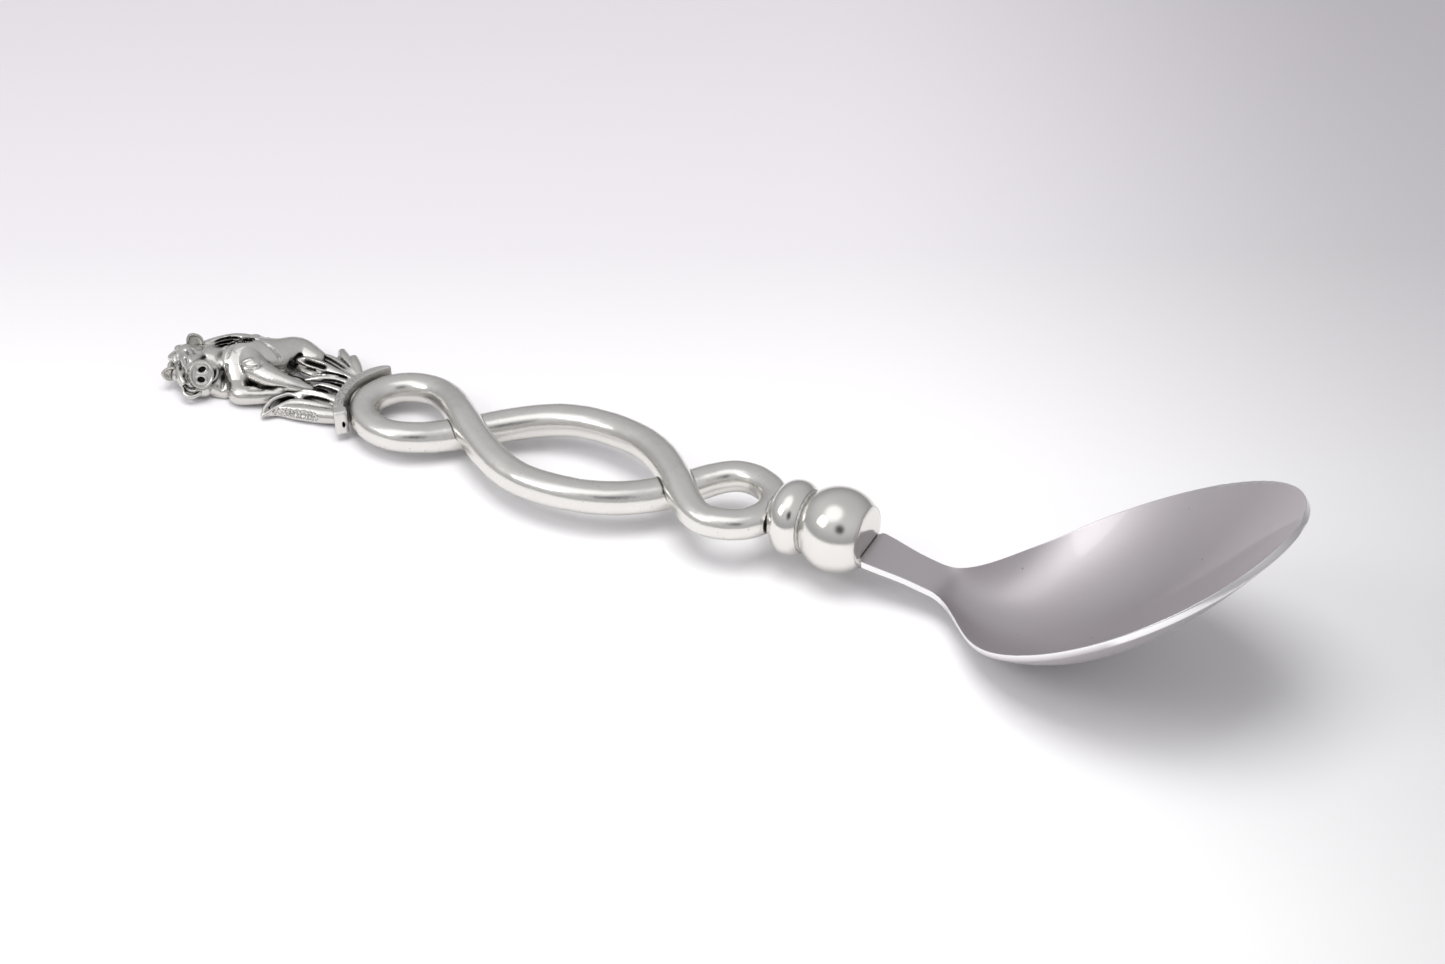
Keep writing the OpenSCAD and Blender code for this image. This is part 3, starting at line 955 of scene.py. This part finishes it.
# %% Warthog, the body
BODY = [
    [(25, -1.2, 2.6, 4.2), (23.2, 1.0, 3.0, 4.9), (21.4, 2.6, 2.9, 4.7), (18.8, 5.0, 2.6, 4.1),
     (16.8, 7.8, 2.6, 3.5), (15.2, 8.6, 2.4, 3.1), (12.0, 8.2, 2.4, 2.4)],
    [(24.6, -1.0, 3.2, 4.2), (22.2, -3.2, 2.2, 3.5), (20.6, -6.0, 1.4, 2.2)],
    [(27, -2.4, 2.8, 3.8), (30, -3.6, 3.4, 3.6), (32.2, -4.6, 3.8, 3.2)],
    [(27.5, -5.2, 2.2, 3.2), (25.6, -6.4, 1.6, 2.5), (23.6, -6.4, 1.2, 2.0)],
]
FORELEGS = [
    [(22.0, 0.2, 4.4, 3.3), (19.3, -2.0, 4.5, 2.75), (15.2, -2.8, 4.4, 2.3),
     (11.2, -2.6, 4.1, 1.7), (8.4, -2.0, 3.8, 1.2), (7.0, -1.6, 3.6, 0.9)],
    [(21.0, -5.4, 1.8, 2.5), (19.4, -7.2, 1.9, 2.1), (16.6, -6.4, 2.1, 1.8),
     (13.6, -5.0, 2.3, 1.5), (11.0, -3.6, 2.4, 1.2)],
]
HEAD = [
    [(32.2, -4.8, 4.2, 3.0), (30.6, -6.2, 4.6, 2.8), (28.8, -7.8, 4.8, 2.4),
     (28.3, -8.3, 4.7, 1.7)],
    [(33.0, -4.6, 4.8, 2.5), (31.2, -5.6, 5.6, 1.9)],
    [(28.6, -4.2, 3.8, 2.6), (27.2, -5.6, 3.8, 2.0)],
    [(30.6, -8.6, 3.2, 2.3), (28.6, -9.6, 2.4, 2.0), (26.8, -8.9, 2.2, 1.9)],
    [(33.4, -6.6, 3.4, 1.9), (32.6, -8.6, 3.0, 1.6)],
]
BROWS = [
    [(30.3, -6.6, 6.2, 0.55), (29.9, -5.1, 6.6, 0.75), (29.7, -2.8, 6.2, 0.8),
     (28.8, -1.7, 5.3, 0.95), (27.6, -2.8, 4.8, 0.95), (26.9, -4.4, 4.6, 0.7)],
    [(32.4, -8.6, 4.9, 0.6), (31.1, -10.2, 4.5, 0.65), (29.6, -11.2, 3.9, 0.6)],
]
TUFTS = [
    [(34.6, -4.0, 5.8, 0.75), (35.1, -4.8, 5.9, 0.8), (34.6, -5.4, 6.1, 0.6)],
    [(35.4, -5.6, 5.0, 0.75), (35.6, -6.6, 4.9, 0.7), (35.0, -7.0, 5.1, 0.55)],
    [(34.0, -6.0, 5.6, 0.7), (34.3, -7.0, 5.4, 0.75), (33.7, -7.6, 5.2, 0.6)],
    [(35.0, -7.8, 4.0, 0.7), (34.6, -8.6, 3.8, 0.6)],
    [(33.2, -4.4, 6.4, 0.7), (33.4, -5.2, 6.3, 0.7)],
]
MANE = [
    [(31.6, -0.6, 4.6, 1.5), (29.6, 1.6, 4.7, 1.7), (26.8, 3.6, 4.8, 1.9), (22.6, 5.0, 4.6, 1.9)],
]
BASE = [
    [(21.0, -3.4, 0.9, 2.2), (16.0, -3.2, 0.9, 1.9), (11.0, -2.4, 1.0, 1.8)],
    [(17.0, 1.6, 0.4, 1.6), (12.6, 3.0, 0.0, 1.3), (9.6, 2.0, 0.0, 1.3)],
]


# %% Warthog, the tooled lines
# each: width, height, then the points of the stroke
GROOVES = [
    (0.40, -0.55, [(23.6, 4.8, 7.4), (26, 1.6, 6.6), (27, -1.6, 6.2), (26.0, -4.4, 5.2)]),
    (0.34, -0.6, [(13.6, 6.2, 5.0), (13.9, 4.9, 5.0), (14.4, 4.2, 4.0)]),
    (0.9, -1.3, [(15.4, 3.8, 4.0), (13.2, 3.2, 3.6), (11.4, 3.4, 3.4)]),
    (0.3, -0.6, [(17.0, -5.8, 3.8), (14.4, -4.9, 3.8), (10.4, -3.1, 3.6)]),
    (0.24, -0.3, [(22.4, 5.4, 5.6), (19.6, 4.4, 5.6), (17.4, 3.4, 5.2), (16.0, 2.0, 4.8)]),
    (0.45, -0.35, [(18.2, -6.6, 3.4), (16.6, -6.2, 3.6), (14.4, -5.2, 3.6)]),
    (0.35, -0.4, [(24.4, -5.6, 4.4), (23.6, -6.8, 3.0), (23.4, -8.0, 1.6)]),
    (0.35, -0.45, [(17.9, -1.4, 7.0), (17.2, -3.0, 7.0), (18.4, -4.6, 7.0), (20.0, -5.2, 7.0)]),
    (0.25, -0.3, [(25.6, 0.6, 6.6), (25.0, -1.6, 6.6), (24.6, -3.6, 6.0)]),
    # forehead, cheek and jaw
    (0.22, -0.35, [(31.4, -2.4, 6.8), (30.4, -3.2, 7.0), (29.8, -4.4, 6.8)]),
    (0.22, -0.35, [(32.6, -6.0, 5.8), (31.6, -7.0, 5.8), (30.8, -8.0, 5.6)]),
    (0.22, -0.3, [(31.6, -8.4, 5.0), (30.6, -9.4, 4.8), (30.0, -10.4, 4.2)]),
    (0.28, -0.4, [(33.6, -4.6, 6.2), (32.2, -5.4, 6.4), (31.0, -6.2, 6.2)]),
    (0.28, -0.4, [(32.6, -3.6, 6.2), (31.4, -4.4, 6.6), (30.4, -5.4, 6.4)]),
    (0.30, -0.45, [(29.6, -6.8, 6.0), (28.9, -5.4, 6.2), (28.9, -3.9, 6.0)]),
    (0.26, -0.3, [(33.6, -6.8, 5.2), (32.4, -8.0, 5.0), (31.4, -9.2, 4.6)]),
    (0.35, -0.5, [(27.0, -6.2, 5.0), (25.9, -6.8, 4.8), (25.3, -7.9, 4.4), (25.6, -9.0, 4.0)]),
    (0.30, -0.5, [(29.6, -10.9, 3.4), (28.3, -11.5, 3.0), (26.9, -10.7, 3.2)]),
    (0.30, -0.35, [(25.6, -4.4, 4.4), (24.7, -5.0, 4.4), (24.2, -5.9, 4.2)]),
    (0.30, -0.35, [(24.8, -3.0, 4.8), (24.3, -4.2, 4.6), (24.1, -5.4, 4.2)]),
]
RIDGES = [
    (0.35, 0.3, [(24.0, 3.4, 7.6), (22.0, 4.8, 7.4), (20.6, 5.0, 7.2)]),
    (0.45, 0.35, [(21.2, -4.4, 6.6), (20.2, -3.0, 7.0), (19.0, -2.0, 7.2)]),
    (0.3, 0.35, [(32.0, -5.2, 6.2), (31.0, -6.2, 6.2), (30.2, -7.4, 6.0)]),
    (0.3, 0.25, [(26.4, -5.0, 5.0), (25.6, -5.6, 5.0), (25.0, -6.6, 4.8)]),
]
# the hairs of the mane
for k in range(7):
    t = k / 6
    curl = 0.5 * math.sin(2.1 * k)
    GROOVES.append((0.2, -0.6, [
        (31.4 - 2.2 * t, 0.2 - 1.6 * t, 5.2 + 0.8 * t),
        (28.8 - 2.0 * t, 3.2 - 2.6 * t + curl, 5.4 + 0.8 * t),
        (25.4 - 0.6 * t, 4.9 - 2.4 * t - curl, 5.4 + 0.8 * t),
        (22.0 + 0.6 * t, 6.2 - 1.8 * t, 5.2 + 0.8 * t),
    ]))


def warthog_body():
    lump = clay([*BODY, *FORELEGS, *HEAD, *BROWS, *TUFTS, *MANE, *BASE], 0.19 * MM, 3)
    for width, height, points in GROOVES + RIDGES:
        stroke(lump, points, width, height)
    modify(lump, "SMOOTH", factor=0.4, iterations=1)
    flat_back(lump)
    return lump


# %% [markdown]
# ### Snout, tusks and ears
# These are crisper than clay gives, so they are made as separate forms and set in: the
# snout is a short cylinder with a sunk face and two lipped, oval nostrils cut into it, the
# tusks are tapered curves, and each ear is half an egg shell. The ears stick out and are
# rubbed clean, so an attribute on them takes most of the patina and the painted shade off.


# %% Snout, tusks and ears
SNOUT_W, SNOUT_H, SNOUT_T = 2.4, 2.8, 2.4
NOSTRIL_ASIDE, NOSTRIL_APART = 0.12, 0.98


def snout(middle, facing, roll):
    deselect_all()
    bpy.ops.mesh.primitive_cylinder_add(vertices=64, radius=1, depth=1)
    disc = bpy.context.object
    disc.scale = (SNOUT_W * MM, SNOUT_H * MM, SNOUT_T * MM)
    apply_place(disc)
    for side in (1, -1):
        deselect_all()
        bpy.ops.mesh.primitive_uv_sphere_add(segments=32, ring_count=16, radius=1)
        nostril = bpy.context.object
        nostril.scale = (0.78 * MM, 0.52 * MM, 0.9 * MM)
        nostril.location = (
            side * NOSTRIL_ASIDE * MM, side * NOSTRIL_APART * MM, SNOUT_T / 2 * MM
        )
        nostril.rotation_euler = (0, 0, side * math.radians(14))
        apply_place(nostril)
        cut_away(disc, nostril)
    modify(disc, "REMESH", mode="VOXEL", voxel_size=0.09 * MM)
    spots = corners_of(disc)
    x, y = spots[:, 0] / MM, spots[:, 1] / MM
    out = np.hypot(x / SNOUT_W, y / SNOUT_H)
    face = spots[:, 2] > 1.0 * MM
    sunk = np.clip((0.86 - out) / 0.05, 0, 1) * 0.24
    rings = [
        np.hypot((x - side * NOSTRIL_ASIDE) / 1.02, (y - side * NOSTRIL_APART) / 0.76)
        for side in (1, -1)
    ]
    lips = sum(np.exp(-(((ring - 1) / 0.22) ** 2)) for ring in rings) * 0.16
    spots[:, 2] += np.where(face, lips - sunk, 0) * MM
    move_corners(disc, spots)
    modify(disc, "SMOOTH", factor=0.5, iterations=3)
    turn = facing.to_track_quat("Z", "Y") @ Quaternion((0, 0, 1), roll)
    disc.data.transform(Matrix.Translation(middle) @ turn.to_matrix().to_4x4())
    return disc


def tusk(points, radii):
    deselect_all()
    bpy.ops.curve.primitive_bezier_curve_add()
    made = bpy.context.object
    made.data.splines.clear()
    line = made.data.splines.new("POLY")
    steps = curve_through([(*p, r) for p, r in zip(points, radii)], 8)
    line.points.add(len(steps) - 1)
    for point, row in zip(line.points, steps):
        point.co = (*spot(*row[:3]), 1)
        point.radius = row[3]
    made.data.dimensions = "3D"
    made.data.bevel_depth = MM
    made.data.bevel_resolution = 4
    made.data.use_fill_caps = True
    take(made)
    bpy.ops.object.convert(target="MESH")
    return bpy.context.object


def ear(middle, opening, pointing, length, width, deep):
    """Half an egg shell, open towards opening, with its long way along pointing."""
    deselect_all()
    bpy.ops.mesh.primitive_uv_sphere_add(segments=40, ring_count=24, radius=1)
    shell = bpy.context.object
    plane_off(shell, (0, 0, 0.12), (0, 0, 1))
    spots = corners_of(shell)
    spots[:, 1] *= 1 - 0.22 * np.clip(spots[:, 0], 0, 1) ** 1.5
    spots[:, 2] += 0.25 * np.clip(spots[:, 0], 0, 1) ** 2
    move_corners(shell, spots * [length * MM, width * MM, deep * MM])
    modify(shell, "SOLIDIFY", thickness=0.5 * MM, offset=-1)
    modify(shell, "SUBSURF", levels=1, render_levels=1)
    z = opening.normalized()
    x = (pointing - z * pointing.dot(z)).normalized()
    turn = Matrix((x, z.cross(x), z)).transposed().to_4x4()
    shell.data.transform(Matrix.Translation(middle) @ turn)
    # takes three quarters of the patina and of the painted shade off the ear
    mark(shell, "less_patina_and_shade", np.full(len(shell.data.vertices), 0.75))
    return shell


def warthog():
    facing = (back + right * 0.42 - up * 0.12).normalized()
    parts = [
        warthog_body(),
        snout(spot(27.0, -9.1, 5.5), facing, math.radians(-12)),
        tusk([(27.3, -4.8, 4.6), (25.4, -5.8, 4.8), (24.5, -7.6, 4.6), (24.9, -8.9, 4.2)],
             [0.34, 0.32, 0.26, 0.14]),
        tusk([(29.9, -11.2, 2.9), (29.0, -12.2, 2.2), (27.6, -12.2, 1.8), (26.5, -11.2, 2.1),
              (26.2, -10.2, 2.8)], [0.3, 0.4, 0.42, 0.34, 0.16]),
        ear(spot(33.0, -2.0, 6.5), back + right * 0.25 - up * 0.25, up * 0.8 - right * 0.6,
            2.0, 1.7, 0.7),
        ear(spot(33.7, -9.6, 3.5), back + right * 0.35 - up * 0.3, -right + up * 0.15,
            2.0, 1.55, 0.7),
    ]
    whole = join(parts)
    smooth(whole, 50)
    return whole


place(warthog(), "warthog", ["warthog_figure"], finial_look)

# %% [markdown]
# ### Leaves
# Blades of a spray between the animal and the crescent: puffy pointed leaves with a line
# along them, and a broad near one that is hollow at the tip and stippled along its side.

# %% Leaves
LEAVES = [
    [(12.8, -9.6, 0.9, 0.5), (10.6, -7.6, 1.4, 1.1), (6.6, -6.4, 1.6, 1.6), (2.4, -5.4, 1.7, 1.6),
     (-0.4, -4.6, 1.8, 1.5)],
    [(12.5, -10.0, 1.3, 0.35), (12.8, -8.7, 1.9, 0.4), (12.3, -6.6, 2.7, 0.45),
     (10.9, -4.9, 3.1, 0.5), (9.5, -4.0, 3.2, 0.5), (6.0, -3.6, 2.8, 0.7)],
    [(12.2, -9.9, 1.3, 0.35), (10.8, -8.1, 2.1, 0.5), (8.6, -5.4, 2.4, 0.85),
     (4.7, -4.1, 2.4, 1.0), (0.2, -3.6, 2.3, 1.0)],
    [(9.6, -4.0, 3.2, 0.35), (7.4, -3.0, 3.4, 0.8), (4.4, -2.4, 3.2, 1.2), (0.6, -2.0, 3.2, 1.2)],
    [(6.9, -0.4, 3.6, 0.3), (5.2, 0.5, 3.7, 0.7), (3.2, 0.7, 3.6, 0.85), (0.8, 0.8, 3.4, 0.8)],
    [(9.2, 0.5, 3.8, 0.3), (6.9, 1.7, 4.1, 0.65), (4.2, 2.9, 4.0, 0.75), (1.0, 3.4, 3.7, 0.7)],
    [(14.2, 5.6, 3.4, 0.7), (12.0, 5.6, 3.6, 1.1), (9.0, 5.6, 3.6, 1.2), (5.4, 5.2, 3.5, 1.1),
     (1.0, 5.0, 3.2, 0.9)],
    [(13.6, 4.6, 2.6, 0.5), (11.0, 3.6, 2.8, 0.7), (7.6, 3.8, 3.0, 0.7), (2.0, 4.2, 3.2, 0.7)],
    [(12.0, 9.2, 3.0, 0.6), (8.8, 8.8, 3.2, 1.0), (5.4, 7.6, 3.2, 1.1), (1.6, 6.2, 3.0, 1.0)],
    [(7.8, 11.4, 3.5, 0.95), (6.0, 9.6, 3.6, 1.3), (3.6, 7.8, 3.4, 1.2), (0.8, 6.4, 3.0, 1.0)],
    [(4.7, 10.7, 3.5, 0.95), (3.2, 9.0, 3.5, 1.2), (1.6, 7.4, 3.2, 1.1), (-0.2, 6.2, 3.0, 0.8)],
    [(11.0, -5.0, 0.6, 1.2), (7.0, 0.0, 0.8, 2.0), (4.0, 4.6, 0.8, 2.2), (3.0, 6.6, 0.8, 1.6)],
    [(6.0, -4.4, 0.8, 1.6), (2.6, 0.0, 1.4, 2.0), (1.4, 3.6, 1.4, 2.0)],
]
LEAF_LINES = [
    (0.42, -1.3, [(13.6, 5.2, 4.6), (11.4, 4.8, 4.6), (9.0, 4.9, 4.6), (7.0, 5.0, 4.4)]),
    (0.26, -0.7, [(9.4, 2.8, 4.2), (5.0, 3.7, 4.4), (1.6, 4.4, 4.2)]),
    (0.25, -0.6, [(12.6, 8.2, 4.2), (8.0, 7.4, 4.6), (3.0, 6.3, 4.4)]),
    (0.25, -0.5, [(10.6, 10.0, 4.2), (7.0, 8.8, 4.6), (3.0, 7.2, 4.4)]),
    (0.5, -1.1, [(11.7, -9.0, 2.4), (11.2, -7.0, 2.8), (10.0, -5.2, 3.0)]),
    (0.3, -0.7, [(7.6, -4.3, 3.4), (4.6, -3.3, 3.6), (0.6, -2.8, 3.4)]),
    (0.3, -0.7, [(9.4, -1.9, 4.2), (5.0, -1.0, 4.4), (1.0, -0.6, 4.2)]),
    (0.22, -0.55, [(6.4, 0.9, 4.4), (3.4, 1.8, 4.6), (1.0, 2.1, 4.4)]),
    (0.55, -0.45, [(10.6, -8.6, 1.6), (6.6, -7.2, 1.8), (2.0, -6.2, 1.8)]),
    (0.25, 0.3, [(9.2, 1.0, 4.4), (6.7, 2.2, 4.8), (2.0, 3.9, 4.6)]),
    (0.25, 0.3, [(9.4, -3.7, 3.8), (6.6, -2.7, 4.3), (1.4, -2.0, 4.3)]),
]
STIPPLED_LEAF = [(10.8, -8.8, 1.6), (6.6, -7.4, 1.8), (2.4, -6.5, 1.8)]


def leaf_spray():
    spray = clay(LEAVES, 0.16 * MM, 2)
    for width, height, points in LEAF_LINES:
        stroke(spray, points, width, height)
    punch(spray, STIPPLED_LEAF, 1.6, 76, 0.24, 0.36)
    flat_back(spray)
    smooth(spray, 50)
    return spray


place(leaf_spray(), "leaves", ["leaf_spray"], finial_look)

# %% [markdown]
# ## Patina and painted shade
# Polishing can't reach a recess, so the dark patina stays there, and the same darkening also
# paints in the shade that falls in recesses and between pieces. Each point of a pewter piece
# looks out along a fixed fan of directions, and the share that is blocked nearby, counting
# near walls more, says how dark it is painted. The fan is a spiral over the half sphere, so it
# is the same in each run. Worn places keep less of the patina and of the painted shade.


# %% Patina and painted shade of each point
def fan(count):
    k = np.arange(count) + 0.5
    height = 1 - k / count * 0.95
    turn = k * math.pi * (3 - math.sqrt(5))
    flat = np.sqrt(1 - height**2)
    return np.stack([flat * np.cos(turn), flat * np.sin(turn), height], 1)


def mark_patina_and_shade(sheltered, reach, rays):
    corners, faces = [], []
    for piece in pieces:
        first = len(corners)
        corners += [v.co[:] for v in piece.data.vertices]
        faces += [[first + i for i in f.vertices] for f in piece.data.polygons]
    tree = BVHTree.FromPolygons(corners, faces)
    ways = [Vector(w) for w in fan(rays)]
    for piece in sheltered:
        blocked = np.zeros(len(piece.data.vertices), np.float32)
        for k, corner in enumerate(piece.data.vertices):
            turn = corner.normal.to_track_quat("Z", "Y")
            start = corner.co + corner.normal * 0.04 * MM
            for way in ways:
                hit = tree.ray_cast(start, turn @ way, reach)
                if hit[0] is not None:
                    blocked[k] += 1 - hit[3] / reach * 0.5
        blocked /= rays
        if "less_patina_and_shade" in piece.data.attributes:
            less_patina_and_shade = np.empty(len(blocked), np.float32)
            piece.data.attributes["less_patina_and_shade"].data.foreach_get("value", less_patina_and_shade)
            blocked *= 1 - less_patina_and_shade
        # the blocked share darkens the piece: patina, and painted shade
        mark(piece, "patina_and_shade", blocked)
        print(piece.name, "median shelter:", round(float(np.median(blocked)), 2))


mark_patina_and_shade(
    [p for p in pieces if p.name != "neck_and_bowl"], 2.4 * MM, 18
)

# %% [markdown]
# ## Floor and light
# A plain pale sheet, with painted shade that greys it towards the back and the right, where
# the light falls off, and soft studio light: one large panel overhead, a smaller one from the
# front left, and a pale surround that is darker low down and behind. The overhead panel is kept
# out of mirror reflections, which a real lamp can't be, because it would put a hot spot in the
# heel of the bowl. A wider and weaker bright place in the surround stands for it in the metal.


# %% Floor
def pale_floor():
    deselect_all()
    bpy.ops.mesh.primitive_plane_add(size=6, location=(0, 0, 0))
    floor = bpy.context.object
    floor.name = "floor"
    finish = Finish("pale_floor_painted_shade", Roughness=0.8, Specular_IOR_Level=0.1)
    where = finish.node("ShaderNodeTexCoord", {}, out=3)
    x = finish.node("ShaderNodeSeparateXYZ", {}, where, out=0)
    y = finish.node("ShaderNodeSeparateXYZ", {}, where, out=1)
    # painted shade: the floor's colour greys towards the back and the right, as the light falls off
    # there
    away = (y * right.x - x * right.y + 0.1) / 0.3
    aside = (x * right.x + y * right.y).between(0.02, 0.17)
    painted_falloff = finish.ramp(away, [
        (0.0, (0.95, 0.95, 0.955)), (0.38, (0.86, 0.855, 0.87)), (0.63, (0.69, 0.67, 0.70)),
        (0.93, (0.63, 0.605, 0.64)), (1.0, (0.615, 0.595, 0.63)),
    ])
    shade = finish.colours(aside * 0.36, painted_falloff, (0.0, 0.0, 0.01))
    floor.data.materials.append(finish.link(Base_Color=shade))


pale_floor()


# %% Light
def panel(name, location, aim, width, depth, watts, tint=(1, 1, 1), mirrored=True):
    bpy.ops.object.light_add(type="AREA", location=location)
    lamp = bpy.context.object
    lamp.name = name
    lamp.data.shape = "RECTANGLE"
    lamp.data.size = width
    lamp.data.size_y = depth
    lamp.data.energy = watts
    lamp.data.color = tint
    lamp.visible_glossy = mirrored
    lamp.rotation_mode = "QUATERNION"
    lamp.rotation_quaternion = (Vector(aim) - Vector(location)).to_track_quat("-Z", "Y")


panel("overhead", (-0.02, -0.05, 0.75), (0, 0, 0), 0.42, 0.42, 3.1, (1.0, 0.99, 0.97),
      mirrored=False)
panel("front_left", (-0.42, -0.52, 0.62), (0.03, 0, 0), 0.34, 0.3, 1.35)


def surround():
    """A pale tent, darker behind and low down, brighter on top, with the camera's dark in it."""
    world = bpy.data.worlds.new("surround")
    bpy.context.scene.world = world
    world.use_nodes = True
    tent = Nodes(world.node_tree)
    where = tent.node("ShaderNodeTexCoord")

    def towards(way):
        return tent.node("ShaderNodeVectorMath", {"operation": "DOT_PRODUCT"}, where, way, out=1)

    height = tent.node("ShaderNodeSeparateXYZ", {}, where, out=2)
    wall = height.between(-0.1, 0.75) * 0.3 + 0.42
    behind = 1 - towards((0.25, 0.97, 0.0)).between(-0.2, 0.9) * 0.2
    top = towards((-0.16, -0.22, 0.962)).between(0.88, 0.97) * 0.9 + 1
    dark = 1 - towards(tuple(back)).between(0.965, 0.992) * 0.88
    sky = tent.node("ShaderNodeBackground", {}, (0.985, 0.98, 1.0, 1.0), wall * behind * top * dark)
    tent.feed(tent.tree.nodes.new("ShaderNodeOutputWorld"), Surface=sky)


surround()
bpy.context.scene.view_settings.view_transform = "Standard"
